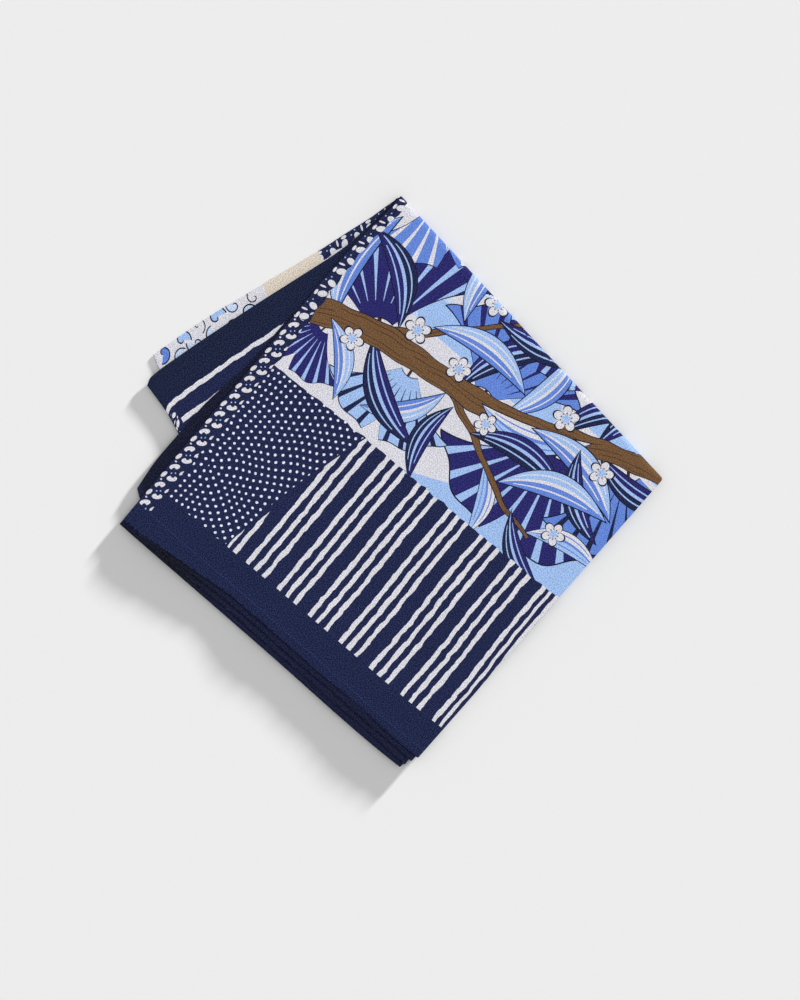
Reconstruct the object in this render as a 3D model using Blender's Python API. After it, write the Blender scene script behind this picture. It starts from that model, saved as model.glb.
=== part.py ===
"""A cotton handkerchief folded in four, as one thick sheet that follows its two folds.

The frame has +X along the front hem, +Y from that hem to the skewed fold at the back, and +Z up.
The flat cloth is worked out first, its right half is folded under, then its back half is folded
under that, and the stack of four layers is settled on the surface. All sizes are in metres.
"""

import math

import bmesh
import bpy
import numpy as np

NODE = "handkerchief"

# The flat cloth and its thickness
CLOTH_WIDTH = 0.520
CLOTH_HEIGHT = 0.500
SHEET = 0.0012

# The stack: the distance between the middles of two layers, close to the folds
LAYER = 0.0021
TOP_Z = 3 * LAYER
SIDE_AXIS_Z = 2.5 * LAYER
BACK_AXIS_Z = 1.5 * LAYER

# The side fold runs from the front hem to the back, and the back fold is skewed to the hem
SIDE_FOLD_X = 0.2530
SIDE_FOLD_SLOPE = 0.005
BACK_FOLD_Y = 0.2867
BACK_FOLD_SLOPE = -0.108

# How far each side of the flat cloth strays from its straight line, as (place along it, shift)
LEFT_SIDE = (
    (0.000, 0.0000),
    (0.019, -0.0004),
    (0.135, -0.0020),
    (0.255, -0.0036),
    (0.290, -0.0012),
    (0.330, -0.0008),
    (0.370, -0.0030),
    (0.440, -0.0095),
    (0.500, -0.0158),
)
RIGHT_SIDE = (
    (0.000, -0.0040),
    (0.050, -0.0009),
    (0.075, 0.0003),
    (0.115, -0.0016),
    (0.210, -0.0015),
    (0.285, -0.0045),
    (0.330, -0.0064),
    (0.400, -0.0074),
    (0.500, -0.0064),
)
FRONT_SIDE = (
    (0.000, 0.0000),
    (0.125, 0.0000),
    (0.250, 0.0000),
    (0.300, 0.0030),
    (0.400, 0.0110),
    (0.520, 0.0212),
)
BACK_SIDE = (
    (0.000, -0.0066),
    (0.040, -0.0030),
    (0.150, 0.0000),
    (0.400, 0.0010),
    (0.478, 0.0030),
    (0.520, -0.0045),
)

# The side fold draws in where the stiff front hem crosses it
CORNER_PULL = 0.0050
CORNER_DEPTH = 0.0140
CORNER_REACH = 0.0500

# How the stack settles: flatter in the middle, and bent down along the free front and left edges
MIDDLE_PRESS = 0.16
MIDDLE_REACH = 0.11
FRONT_DROOP = 0.0023
FRONT_DROOP_DEPTH = 0.0150
LEFT_DROOP = 0.0007
LEFT_DROOP_DEPTH = 0.0130

# Soft unevenness of the top, as (height, length of a wave, heading in degrees, start of the wave)
WAVES = (
    (0.00034, 0.115, 12.0, 0.4),
    (0.00030, 0.083, 74.0, 1.9),
    (0.00022, 0.057, 133.0, 3.1),
    (0.00016, 0.041, 40.0, 5.2),
)

# Cells of the mesh: along the hem and towards the back, before, in and after each fold
SIDE_CELLS = (17, 6, 15)
BACK_CELLS = (18, 8, 14)
HEM_ROWS = (0.0, 0.016, 0.031, 0.052)
FIT_PASSES = 5
SHARP_EDGE_DEGREES = 50

COTTON_NAVY = (0.017, 0.024, 0.090, 1.0)
COTTON_ROUGHNESS = 0.9


def curve_through(table, at):
    """A smooth curve through the rows of a table, read at the places given."""
    places = np.array([row[0] for row in table])
    values = np.array([row[1] for row in table])
    slopes = np.gradient(values, places)
    cell = np.clip(np.searchsorted(places, at) - 1, 0, len(places) - 2)
    width = places[cell + 1] - places[cell]
    part = np.clip((at - places[cell]) / width, 0.0, 1.0)
    start, end = values[cell], values[cell + 1]
    lean_in, lean_out = slopes[cell] * width, slopes[cell + 1] * width
    rise = part * part * (3.0 - 2.0 * part)
    bend_in = part * (1.0 - part) ** 2
    bend_out = part * part * (part - 1.0)
    return start + (end - start) * rise + lean_in * bend_in + lean_out * bend_out


def eased(value):
    """0 below 0, 1 above 1, and a soft step between."""
    part = np.clip(value, 0.0, 1.0)
    return part * part * (3.0 - 2.0 * part)


def fold_under(across, z, axis_z):
    """Bends what lies past a fold line down round an axis, each layer keeping its own length.

    across is the distance past the line; the answer is the new distance and the new height.
    """
    radius = z - axis_z
    angle = np.clip(across / radius, 0.0, math.pi)
    beyond = across - angle * radius
    turned = np.where(beyond > 0.0, -beyond, radius * np.sin(angle))
    new_across = np.where(across < 0.0, across, turned)
    new_z = np.where(across < 0.0, z, axis_z + radius * np.cos(angle))
    return new_across, new_z


def fold_side(x, y):
    """The first fold, which takes the right half of the cloth under the left half."""
    length = math.hypot(1.0, SIDE_FOLD_SLOPE)
    across = (x - SIDE_FOLD_X - SIDE_FOLD_SLOPE * y) / length
    turned, z = fold_under(across, np.full_like(across, TOP_Z), SIDE_AXIS_Z)
    move = (turned - across) / length
    return x + move, y - SIDE_FOLD_SLOPE * move, z


def fold_back(x, y, z):
    """The second fold, which takes the back half of both layers under them."""
    length = math.hypot(1.0, BACK_FOLD_SLOPE)
    across = (y - BACK_FOLD_Y - BACK_FOLD_SLOPE * x) / length
    turned, z = fold_under(across, z, BACK_AXIS_Z)
    move = (turned - across) / length
    return x - BACK_FOLD_SLOPE * move, y + move, z


def zone_places(cells, first_rows=()):
    """(zone, share of the zone) for each line of the mesh across a fold."""
    before = np.linspace(0.0, 1.0, cells[0] + 1)
    if first_rows:
        rest = np.linspace(first_rows[-1], 1.0, cells[0] + 2 - len(first_rows))
        before = np.concatenate([first_rows, rest[1:]])
    within = np.linspace(0.0, 1.0, cells[1] + 1)[1:]
    after = np.linspace(0.0, 1.0, cells[2] + 1)[1:]
    zone = np.repeat([0, 1, 2], [len(before), len(within), len(after)])
    return zone, np.concatenate([before, within, after])


def place_in_zone(zone, share, start, fold, arc, end):
    """A place before the fold, in its arc or after it."""
    before = start + share * (fold - start)
    within = fold + share * arc
    after = fold + arc + share * (end - fold - arc)
    return np.where(zone == 0, before, np.where(zone == 1, within, after))


def flat_cloth():
    """The mesh's points on the flat cloth, in rows, lined up with both folds."""
    column_zone, column_share = zone_places(SIDE_CELLS)
    row_zone, row_share = zone_places(BACK_CELLS, HEM_ROWS)
    row_zone, column_zone = np.meshgrid(row_zone, column_zone, indexing="ij")
    row_share, column_share = np.meshgrid(row_share, column_share, indexing="ij")
    across, along = np.meshgrid(
        np.linspace(0.0, CLOTH_WIDTH, row_zone.shape[1]),
        np.linspace(0.0, CLOTH_HEIGHT, row_zone.shape[0]),
    )
    side_arc = math.pi * (TOP_Z - SIDE_AXIS_Z)
    x, y = across, along
    for _ in range(FIT_PASSES):
        left = curve_through(LEFT_SIDE, along)
        right = curve_through(RIGHT_SIDE, along)
        fold = SIDE_FOLD_X + SIDE_FOLD_SLOPE * y
        x = place_in_zone(column_zone, column_share, left, fold, side_arc, CLOTH_WIDTH + right)
        across = (x - left) / (1.0 + (right - left) / CLOTH_WIDTH)
        folded_x, _, z = fold_side(x, y)
        front = curve_through(FRONT_SIDE, across)
        back = curve_through(BACK_SIDE, across)
        fold = BACK_FOLD_Y + BACK_FOLD_SLOPE * folded_x
        arc = math.pi * (z - BACK_AXIS_Z)
        y = place_in_zone(row_zone, row_share, front, fold, arc, CLOTH_HEIGHT + back)
        along = (y - front) / (1.0 + (back - front) / CLOTH_HEIGHT)
    return x, y


def settle(x, y, z):
    """The folded stack as it lies: its drawn-in corner, its pressed middle and its drooping edges."""
    pull = CORNER_PULL * (1.0 - eased(y / CORNER_DEPTH))
    x = x - pull * eased((x - SIDE_FOLD_X + CORNER_REACH) / CORNER_REACH)
    from_side = eased((SIDE_FOLD_X - x) / MIDDLE_REACH)
    from_back = eased((BACK_FOLD_Y + BACK_FOLD_SLOPE * x - y) / MIDDLE_REACH)
    height = z * (1.0 - MIDDLE_PRESS * from_side * from_back)
    for wave, length, heading, start in WAVES:
        turn = math.radians(heading)
        along = x * math.cos(turn) + y * math.sin(turn)
        height = height + wave * np.sin(2.0 * math.pi * along / length + start) * z / TOP_Z
    upper = eased((z - LAYER) / LAYER)
    height = height - upper * FRONT_DROOP * (1.0 - eased(y / FRONT_DROOP_DEPTH))
    height = height - upper * LEFT_DROOP * (1.0 - eased(x / LEFT_DROOP_DEPTH))
    return x, y, height + 0.5 * SHEET


def middle_surface():
    """The points midway through the folded sheet, as an array of rows."""
    x, y = flat_cloth()
    x, y, z = fold_side(x, y)
    x, y, z = fold_back(x, y, z)
    return np.stack(settle(x, y, z), axis=-1)


def facing(points):
    """The direction of the printed face at each point."""
    along_row = np.gradient(points, axis=1)
    along_column = np.gradient(points, axis=0)
    normal = np.cross(along_row, along_column)
    return normal / np.linalg.norm(normal, axis=-1, keepdims=True)


def centred(points):
    """The points moved so that the middle of their box is over the origin and its foot at zero."""
    low, high = points.min(axis=(0, 1, 2)), points.max(axis=(0, 1, 2))
    return points - np.array([(low[0] + high[0]) / 2, (low[1] + high[1]) / 2, low[2]])


def thick_sheet(sides):
    """A closed mesh between two surfaces of equal rows and columns: the face and the wrong side."""
    rows, columns = sides.shape[1:3]
    mesh = bmesh.new()
    verts = [[[mesh.verts.new(point) for point in row] for row in side] for side in sides]
    face, back = verts
    for j in range(rows - 1):
        for i in range(columns - 1):
            mesh.faces.new((face[j][i], face[j][i + 1], face[j + 1][i + 1], face[j + 1][i]))
            mesh.faces.new((back[j][i], back[j + 1][i], back[j + 1][i + 1], back[j][i + 1]))
    rim = [(0, i) for i in range(columns)]
    rim += [(j, columns - 1) for j in range(1, rows)]
    rim += [(rows - 1, i) for i in range(columns - 2, -1, -1)]
    rim += [(j, 0) for j in range(rows - 2, 0, -1)]
    for (j, i), (next_j, next_i) in zip(rim, rim[1:] + rim[:1]):
        mesh.faces.new((face[j][i], back[j][i], back[next_j][next_i], face[next_j][next_i]))
    return mesh


def cotton():
    """The cloth's plain navy cotton."""
    material = bpy.data.materials.new("cotton_navy")
    material.use_nodes = True
    shader = material.node_tree.nodes["Principled BSDF"]
    shader.inputs["Base Color"].default_value = COTTON_NAVY
    shader.inputs["Roughness"].default_value = COTTON_ROUGHNESS
    shader.inputs["Metallic"].default_value = 0.0
    return material


def build():
    for item in list(bpy.data.objects):
        bpy.data.objects.remove(item, do_unlink=True)
    middle = middle_surface()
    half = 0.5 * SHEET * facing(middle)
    sheet = thick_sheet(centred(np.stack([middle + half, middle - half])))
    data = bpy.data.meshes.new(NODE)
    sheet.to_mesh(data)
    sheet.free()
    data.shade_smooth()
    data.set_sharp_from_angle(angle=math.radians(SHARP_EDGE_DEGREES))
    data.materials.append(cotton())
    bpy.context.scene.collection.objects.link(bpy.data.objects.new(NODE, data))


build()
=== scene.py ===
"""The looks of a cotton handkerchief folded in four: printed cloth, floor, lights and camera.

The cloth follows the same two folds as the solid that it replaces, as a thinner and finer sheet.
Its print is drawn by the material from the flat cloth's own coordinates: across from the left side
and along from the front hem. All sizes are in metres.
"""

import math

import bpy
import numpy as np
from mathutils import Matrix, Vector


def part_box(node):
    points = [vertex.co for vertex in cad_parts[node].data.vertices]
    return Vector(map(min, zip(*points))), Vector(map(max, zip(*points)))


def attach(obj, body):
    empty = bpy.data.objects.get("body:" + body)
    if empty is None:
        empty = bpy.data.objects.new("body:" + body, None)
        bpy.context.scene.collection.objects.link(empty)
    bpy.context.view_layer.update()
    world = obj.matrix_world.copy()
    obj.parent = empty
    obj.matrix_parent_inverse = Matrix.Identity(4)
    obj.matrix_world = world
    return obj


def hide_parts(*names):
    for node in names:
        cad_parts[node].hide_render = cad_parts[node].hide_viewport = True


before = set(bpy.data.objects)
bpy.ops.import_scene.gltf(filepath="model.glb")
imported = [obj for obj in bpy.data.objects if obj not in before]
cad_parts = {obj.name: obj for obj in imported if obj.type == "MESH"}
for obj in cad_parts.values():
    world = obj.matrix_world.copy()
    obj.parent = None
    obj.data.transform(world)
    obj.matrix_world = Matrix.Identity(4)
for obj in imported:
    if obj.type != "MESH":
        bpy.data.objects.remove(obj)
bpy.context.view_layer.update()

NODE = "handkerchief"

# The flat cloth, the solid's thickness, then the thinner sheet's, its double hem and its rim
CLOTH_WIDTH = 0.520
CLOTH_HEIGHT = 0.500
SHEET = 0.0012
THICKNESS = 0.00055
HEM_THICKNESS = 0.00100
HEM_WIDTH = 0.0050
HEM_STEP = 0.0008
RIM_THICKNESS = 0.45

# The stack and its two folds, as in the solid
LAYER = 0.0021
TOP_Z = 3 * LAYER
SIDE_AXIS_Z = 2.5 * LAYER
BACK_AXIS_Z = 1.5 * LAYER
SIDE_FOLD_X = 0.2530
SIDE_FOLD_SLOPE = 0.005
BACK_FOLD_Y = 0.2867
BACK_FOLD_SLOPE = -0.108
FIT_PASSES = 6

# How far each side of the flat cloth strays from its straight line, as (place along it, shift)
LEFT_SIDE = (
    (0.000, 0.0000),
    (0.019, -0.0004),
    (0.135, -0.0020),
    (0.255, -0.0036),
    (0.290, -0.0014),
    (0.310, -0.0022),
    (0.325, -0.0024),
    (0.338, -0.0034),
    (0.363, -0.0050),
    (0.405, -0.0092),
    (0.431, -0.0116),
    (0.445, -0.0132),
    (0.466, -0.0146),
    (0.500, -0.0156),
)
RIGHT_SIDE = (
    (0.000, -0.0036),
    (0.022, -0.0008),
    (0.050, -0.0002),
    (0.075, 0.0000),
    (0.115, -0.0037),
    (0.160, -0.0040),
    (0.210, -0.0044),
    (0.285, -0.0056),
    (0.303, -0.0080),
    (0.330, -0.0098),
    (0.365, -0.0076),
    (0.400, -0.0048),
    (0.430, -0.0028),
    (0.470, -0.0008),
    (0.488, -0.0004),
    (0.496, -0.0012),
    (0.500, -0.0036),
)
FRONT_SIDE = (
    (0.000, 0.0000),
    (0.125, 0.0000),
    (0.250, 0.0000),
    (0.300, 0.0030),
    (0.400, 0.0110),
    (0.505, 0.0165),
    (0.513, 0.0188),
    (0.520, 0.0232),
)
BACK_SIDE = (
    (0.000, -0.0092),
    (0.012, -0.0062),
    (0.040, -0.0030),
    (0.150, 0.0000),
    (0.400, 0.0005),
    (0.478, 0.0005),
    (0.498, -0.0024),
    (0.520, -0.0030),
)

# How the stack settles: pressed in its middle and at the two ends of the front hem
MIDDLE_PRESS = 0.16
MIDDLE_REACH = 0.11
END_PRESS = 0.22
END_REACH = 0.034

# Soft unevenness of the top, as (height, length of a wave, heading in degrees, start of the wave)
WAVES = (
    (0.00034, 0.115, 12.0, 0.4),
    (0.00030, 0.083, 74.0, 1.9),
    (0.00022, 0.057, 133.0, 3.1),
    (0.00016, 0.041, 40.0, 5.2),
    (0.00007, 0.023, 100.0, 2.2),
    (0.00005, 0.017, 160.0, 0.9),
)

# The front hem falls in three steps, as (distance from the edge, fall, draw-in of the corner)
HEM_STEPS = (
    (0.0138, 0.00105, 0.0018),
    (0.0093, 0.00095, 0.0020),
    (0.0049, 0.00095, 0.0012),
)

# Share of their full width that the steps keep: the least, that at x = 0, and its growth a metre
HEM_LEAST = 0.36
HEM_AT_LEFT = 0.25
HEM_GROWTH = 8.4

# Each step's own width, how far it juts forward, and its slow wobble along the hem
STEP_WIDTH = 0.0013
STEP_OVERHANG = 0.00042
STEP_WOBBLE = 0.00018
STEP_WAVE = 0.061
STEP_SHIFT = 2.1
CORNER_REACH = 0.0500

# A soft line down the left side, as (place along it, distance from the left edge)
LEFT_LINE = (
    (0.000, 0.0078),
    (0.010, 0.0098),
    (0.030, 0.0112),
    (0.156, 0.0092),
    (0.201, 0.0064),
    (0.248, 0.0030),
    (0.290, 0.0026),
)
LEFT_STEP = 0.00045
LEFT_STEP_WIDTH = 0.0018
LEFT_DROOP = 0.0003
LEFT_DROOP_DEPTH = 0.0130

# A stitched ridge along the front, and the puckers that its thread pulls in the cloth
RIDGE_Y = 0.0190
RIDGE_WIDTH = 0.0011
RIDGE_HEIGHT = 0.00032
PUCKER_HEIGHT = 0.00009
PUCKER_WAVE = 0.0125
PUCKER_DRIFT = 2.0
PUCKER_DRIFT_RATE = 31.0
PUCKER_REACH = 0.022

# Soft creases, as (x, y of the middle, length, heading in degrees, width, height)
CREASES = (
    (0.185, 0.200, 0.110, 66.0, 0.0070, 0.00022),
    (0.096, 0.215, 0.130, 31.0, 0.0085, -0.00016),
    (0.070, 0.110, 0.090, 118.0, 0.0080, 0.00014),
    (0.205, 0.085, 0.080, 24.0, 0.0075, -0.00014),
    (0.140, 0.155, 0.140, 4.0, 0.0100, 0.00016),
    (0.236, 0.140, 0.120, 96.0, 0.0060, 0.00014),
    (0.030, 0.245, 0.070, 150.0, 0.0070, 0.00018),
)

# The mesh's bands by the edges, and its cells by the edges, round each fold and at the steps
ZONES = 5
FRONT_BAND = 0.0230
LEFT_BAND = 0.0150
END_BAND = 0.0064
EDGE_CELLS = 7
LEFT_CELLS = 16
SIDE_CELLS = (88, 14, 74)
BACK_CELLS = (84, 16, 66)
STEP_CELLS = 9
BETWEEN_CELLS = 3


def curve_through(table, at):
    """A smooth curve through the rows of a table, read at the places given."""
    places = np.array([row[0] for row in table])
    values = np.array([row[1] for row in table])
    slopes = np.gradient(values, places)
    cell = np.clip(np.searchsorted(places, at) - 1, 0, len(places) - 2)
    width = places[cell + 1] - places[cell]
    part = np.clip((at - places[cell]) / width, 0.0, 1.0)
    start, end = values[cell], values[cell + 1]
    lean_in, lean_out = slopes[cell] * width, slopes[cell + 1] * width
    rise = part * part * (3.0 - 2.0 * part)
    bend_in = part * (1.0 - part) ** 2
    bend_out = part * part * (part - 1.0)
    return start + (end - start) * rise + lean_in * bend_in + lean_out * bend_out


def eased(value):
    """0 below 0, 1 above 1, and a soft step between."""
    part = np.clip(value, 0.0, 1.0)
    return part * part * (3.0 - 2.0 * part)


def fold_under(across, z, axis_z):
    """Bends what lies past a fold line down round an axis, each layer keeping its own length."""
    radius = z - axis_z
    angle = np.clip(across / radius, 0.0, math.pi)
    beyond = across - angle * radius
    turned = np.where(beyond > 0.0, -beyond, radius * np.sin(angle))
    new_across = np.where(across < 0.0, across, turned)
    new_z = np.where(across < 0.0, z, axis_z + radius * np.cos(angle))
    return new_across, new_z


def fold_side(x, y):
    """The first fold, which takes the right half of the cloth under the left half."""
    length = math.hypot(1.0, SIDE_FOLD_SLOPE)
    across = (x - SIDE_FOLD_X - SIDE_FOLD_SLOPE * y) / length
    turned, z = fold_under(across, np.full_like(across, TOP_Z), SIDE_AXIS_Z)
    move = (turned - across) / length
    return x + move, y - SIDE_FOLD_SLOPE * move, z


def fold_back(x, y, z):
    """The second fold, which takes the back half of both layers under them."""
    length = math.hypot(1.0, BACK_FOLD_SLOPE)
    across = (y - BACK_FOLD_Y - BACK_FOLD_SLOPE * x) / length
    turned, z = fold_under(across, z, BACK_AXIS_Z)
    move = (turned - across) / length
    return x - BACK_FOLD_SLOPE * move, y + move, z


def front_lines():
    """Shares of the front band at which its lines lie, close together at each step."""
    ends = [0.0]
    counts = []
    for place, _, _ in reversed(HEM_STEPS):
        ends += [place - STEP_WIDTH - STEP_WOBBLE, place + STEP_WOBBLE]
        counts += [BETWEEN_CELLS, STEP_CELLS]
    ends.append(FRONT_BAND)
    counts.append(3 * BETWEEN_CELLS)
    stretches = [
        np.linspace(start, end, count + 1)[1:] for start, end, count in zip(ends, ends[1:], counts)
    ]
    return np.concatenate([[0.0]] + stretches) / FRONT_BAND


def mesh_lines(first_shares, cells):
    """(zone, share of it) for each line: first band, before, in and after the fold, last band."""
    shares = [np.asarray(first_shares)]
    for count in (*cells, EDGE_CELLS):
        shares.append(np.linspace(0.0, 1.0, count + 1)[1:])
    zones = np.repeat(np.arange(ZONES), [len(part) for part in shares])
    return zones, np.concatenate(shares)


def place_in_zone(zone, share, band, start, fold, arc, end):
    """Where a line lies, from its zone and its share of it."""
    bounds = [start, start + band, fold, fold + arc, end - END_BAND, end]
    place = np.zeros_like(share)
    for index in range(ZONES):
        low, high = bounds[index], bounds[index + 1]
        place = np.where(zone == index, low + share * (high - low), place)
    return place


def hem_share(x):
    """The share of their full width that the hem's steps have at a place."""
    return np.clip(HEM_AT_LEFT + HEM_GROWTH * x, HEM_LEAST, 1.0)


def flat_cloth():
    """Points on the flat cloth lined up with both folds, and where they are across and along it."""
    column_zone, column_share = mesh_lines(np.linspace(0.0, 1.0, LEFT_CELLS + 1), SIDE_CELLS)
    row_zone, row_share = mesh_lines(front_lines(), BACK_CELLS)
    row_zone, column_zone = np.meshgrid(row_zone, column_zone, indexing="ij")
    row_share, column_share = np.meshgrid(row_share, column_share, indexing="ij")
    across, along = np.meshgrid(
        np.linspace(0.0, CLOTH_WIDTH, row_zone.shape[1]),
        np.linspace(0.0, CLOTH_HEIGHT, row_zone.shape[0]),
    )
    side_arc = math.pi * (TOP_Z - SIDE_AXIS_Z)
    x, y = across, along
    for _ in range(FIT_PASSES):
        left = curve_through(LEFT_SIDE, along)
        right = CLOTH_WIDTH + curve_through(RIGHT_SIDE, along)
        fold = SIDE_FOLD_X + SIDE_FOLD_SLOPE * y
        x = place_in_zone(column_zone, column_share, LEFT_BAND, left, fold, side_arc, right)
        across = CLOTH_WIDTH * (x - left) / (right - left)
        folded_x, _, z = fold_side(x, y)
        front = curve_through(FRONT_SIDE, across)
        back = CLOTH_HEIGHT + curve_through(BACK_SIDE, across)
        fold = BACK_FOLD_Y + BACK_FOLD_SLOPE * folded_x
        arc = math.pi * (z - BACK_AXIS_Z)
        band = FRONT_BAND * hem_share(folded_x)
        y = place_in_zone(row_zone, row_share, band, front, fold, arc, back)
        along = CLOTH_HEIGHT * (y - front) / (back - front)
    return x, y, across, along


def hem_fall(x, y):
    """The front hem's steps: how far it has fallen, is drawn in at the corner and juts forward."""
    fall, draw, jut = 0.0, 0.0, 0.0
    share = hem_share(x)
    for start, (place, drop, pull) in enumerate(HEM_STEPS):
        line = place + STEP_WOBBLE * np.sin(2.0 * math.pi * x / STEP_WAVE + STEP_SHIFT * start)
        part = np.clip((line - y / share) / STEP_WIDTH, 0.0, 1.0)
        fall = fall + drop * share * eased(part)
        draw = draw + pull * eased(part)
        jut = jut + STEP_OVERHANG * np.sin(2.0 * math.pi * part)
    return fall, draw, jut


def creased(x, y):
    """The height that the soft creases add."""
    height = 0.0
    for middle_x, middle_y, length, heading, width, rise in CREASES:
        turn = math.radians(heading)
        along = (x - middle_x) * math.cos(turn) + (y - middle_y) * math.sin(turn)
        across = (y - middle_y) * math.cos(turn) - (x - middle_x) * math.sin(turn)
        height = height + rise * np.exp(-((across / width) ** 2) - (2.0 * along / length) ** 2)
    return height


def settle(x, y, z):
    """The folded stack as it lies: pressed, creased, with its stepped hem and its left line."""
    fall, draw, jut = hem_fall(x, y)
    x = x - draw * eased((x - SIDE_FOLD_X + CORNER_REACH) / CORNER_REACH)
    from_side = eased((SIDE_FOLD_X - x) / MIDDLE_REACH)
    from_back = eased((BACK_FOLD_Y + BACK_FOLD_SLOPE * x - y) / MIDDLE_REACH)
    ends = np.exp(-((x / END_REACH) ** 2)) + np.exp(-(((x - SIDE_FOLD_X) / END_REACH) ** 2))
    ends = ends * np.exp(-((y / END_REACH) ** 2))
    height = z * (1.0 - MIDDLE_PRESS * from_side * from_back - END_PRESS * ends)
    rise = creased(x, y)
    for wave, length, heading, start in WAVES:
        turn = math.radians(heading)
        along = x * math.cos(turn) + y * math.sin(turn)
        rise = rise + wave * np.sin(2.0 * math.pi * along / length + start)
    height = height + rise * z / TOP_Z
    upper = eased((z - LAYER) / LAYER)
    top = eased((z - 2.0 * LAYER) / LAYER)
    ridge = RIDGE_HEIGHT * np.exp(-(((y - RIDGE_Y) / RIDGE_WIDTH) ** 2))
    drift = PUCKER_DRIFT * np.sin(PUCKER_DRIFT_RATE * x)
    pucker = PUCKER_HEIGHT * np.sin(2.0 * math.pi * x / PUCKER_WAVE + drift)
    pucker = pucker * np.exp(-(((y - RIDGE_Y) / PUCKER_REACH) ** 2))
    line = curve_through(LEFT_LINE, y)
    left_fall = LEFT_STEP * eased((line - x) / LEFT_STEP_WIDTH)
    left_fall = left_fall + LEFT_DROOP * (1.0 - eased(x / LEFT_DROOP_DEPTH))
    height = height - upper * (fall + left_fall) + top * (ridge + pucker)
    return x, y - upper * jut, height + 0.5 * SHEET


def facing(points):
    """The direction of the printed face at each point."""
    along_row = np.gradient(points, axis=1)
    along_column = np.gradient(points, axis=0)
    normal = np.cross(along_row, along_column)
    return normal / np.linalg.norm(normal, axis=-1, keepdims=True)


def half_thickness(across, along):
    """Half the cloth's thickness: double at the hem, and rounded off at the rim."""
    inset = np.minimum(
        np.minimum(across, CLOTH_WIDTH - across), np.minimum(along, CLOTH_HEIGHT - along)
    )
    hem = 1.0 - eased((inset - HEM_WIDTH) / HEM_STEP)
    full = THICKNESS + (HEM_THICKNESS - THICKNESS) * hem
    rim = RIM_THICKNESS + (1.0 - RIM_THICKNESS) * np.sqrt(np.clip(inset / HEM_STEP, 0.0, 1.0))
    return 0.5 * full * rim


def lined_up(points):
    """The points moved over the solid that they replace, with their foot at its foot."""
    low, high = points.min(axis=(0, 1, 2)), points.max(axis=(0, 1, 2))
    box_low, box_high = (np.array(corner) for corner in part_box(NODE))
    middle = 0.5 * (box_low + box_high) - 0.5 * (low + high)
    return points + np.array([middle[0], middle[1], box_low[2] - low[2]])


def sheet_faces(rows, columns):
    """Corner numbers of the faces of a closed sheet: printed side, wrong side and rim."""
    number = np.arange(rows * columns).reshape(rows, columns)
    corners = (number[:-1, :-1], number[:-1, 1:], number[1:, 1:], number[1:, :-1])
    printed_faces = np.stack(corners, axis=-1).reshape(-1, 4)
    wrong_faces = printed_faces[:, ::-1] + number.size
    rim = np.concatenate([number[0, :-1], number[:-1, -1], number[-1, :0:-1], number[:0:-1, 0]])
    following = np.roll(rim, -1)
    wrong_rim, wrong_following = rim + number.size, following + number.size
    rim_faces = np.stack([rim, wrong_rim, wrong_following, following], axis=-1)
    return np.concatenate([printed_faces, wrong_faces, rim_faces])


def make_cloth():
    """The folded cloth as one closed thin sheet that knows its place on the flat cloth."""
    x, y, across, along = flat_cloth()
    points = np.stack(settle(*fold_back(*fold_side(x, y))), axis=-1)
    half = half_thickness(across, along)[..., None] * facing(points)
    points = lined_up(np.stack([points + half, points - half])).reshape(-1, 3)
    faces = sheet_faces(*x.shape)
    data = bpy.data.meshes.new("folded_cloth")
    data.from_pydata(points, [], faces)
    flat = np.tile(np.stack([across, along], axis=-1).reshape(-1, 2), (2, 1))
    place = data.uv_layers.new(name="cloth")
    place.data.foreach_set("uv", flat[faces.ravel()].ravel())
    wrong = data.attributes.new("wrong_side", "FLOAT", "POINT")
    wrong.data.foreach_set("value", np.repeat([0.0, 1.0], x.size))
    data.shade_smooth()
    cloth = bpy.data.objects.new("folded_cloth", data)
    bpy.context.scene.collection.objects.link(cloth)
    return cloth


def tone(red, green, blue):
    """A colour given in 0 to 255 as a screen shows it, as the linear values that a shader takes."""
    parts = [part / 255.0 for part in (red, green, blue)]
    linear = [((part + 0.055) / 1.055) ** 2.4 if part > 0.04045 else part / 12.92 for part in parts]
    return (*linear, 1.0)


# The print's colours, with three navies of painted shade for the hems
NAVY = tone(28, 36, 73)
HEM_NAVY = tone(25, 35, 70)
# Painted shade: the front hem's margin, where its fallen steps face away from the light
EDGE_SHADE_NAVY = tone(17, 24, 54)
VIOLET_NAVY = tone(40, 38, 104)
MID_BLUE = tone(98, 132, 212)
LIGHT_BLUE = tone(158, 188, 234)
PALE_BLUE = tone(192, 209, 236)
WHITE = tone(216, 215, 222)
DOT_WHITE = tone(222, 226, 244)
GROUND = tone(214, 213, 222)
BROWN = tone(112, 82, 54)
DARK_BROWN = tone(66, 47, 34)
CREAM = tone(216, 205, 190)
INK = tone(22, 24, 50)
RIGHT_NAVY = tone(20, 31, 60)
# Painted shade: the right hem where the top layer's edge shades it
RIGHT_SHADE_NAVY = tone(7, 15, 42)
# Painted shade: the darkest part of the front hem's shade, in a wedge
WEDGE_SHADE_NAVY = tone(8, 11, 30)
STITCH_BLUE = tone(66, 80, 136)


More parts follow.
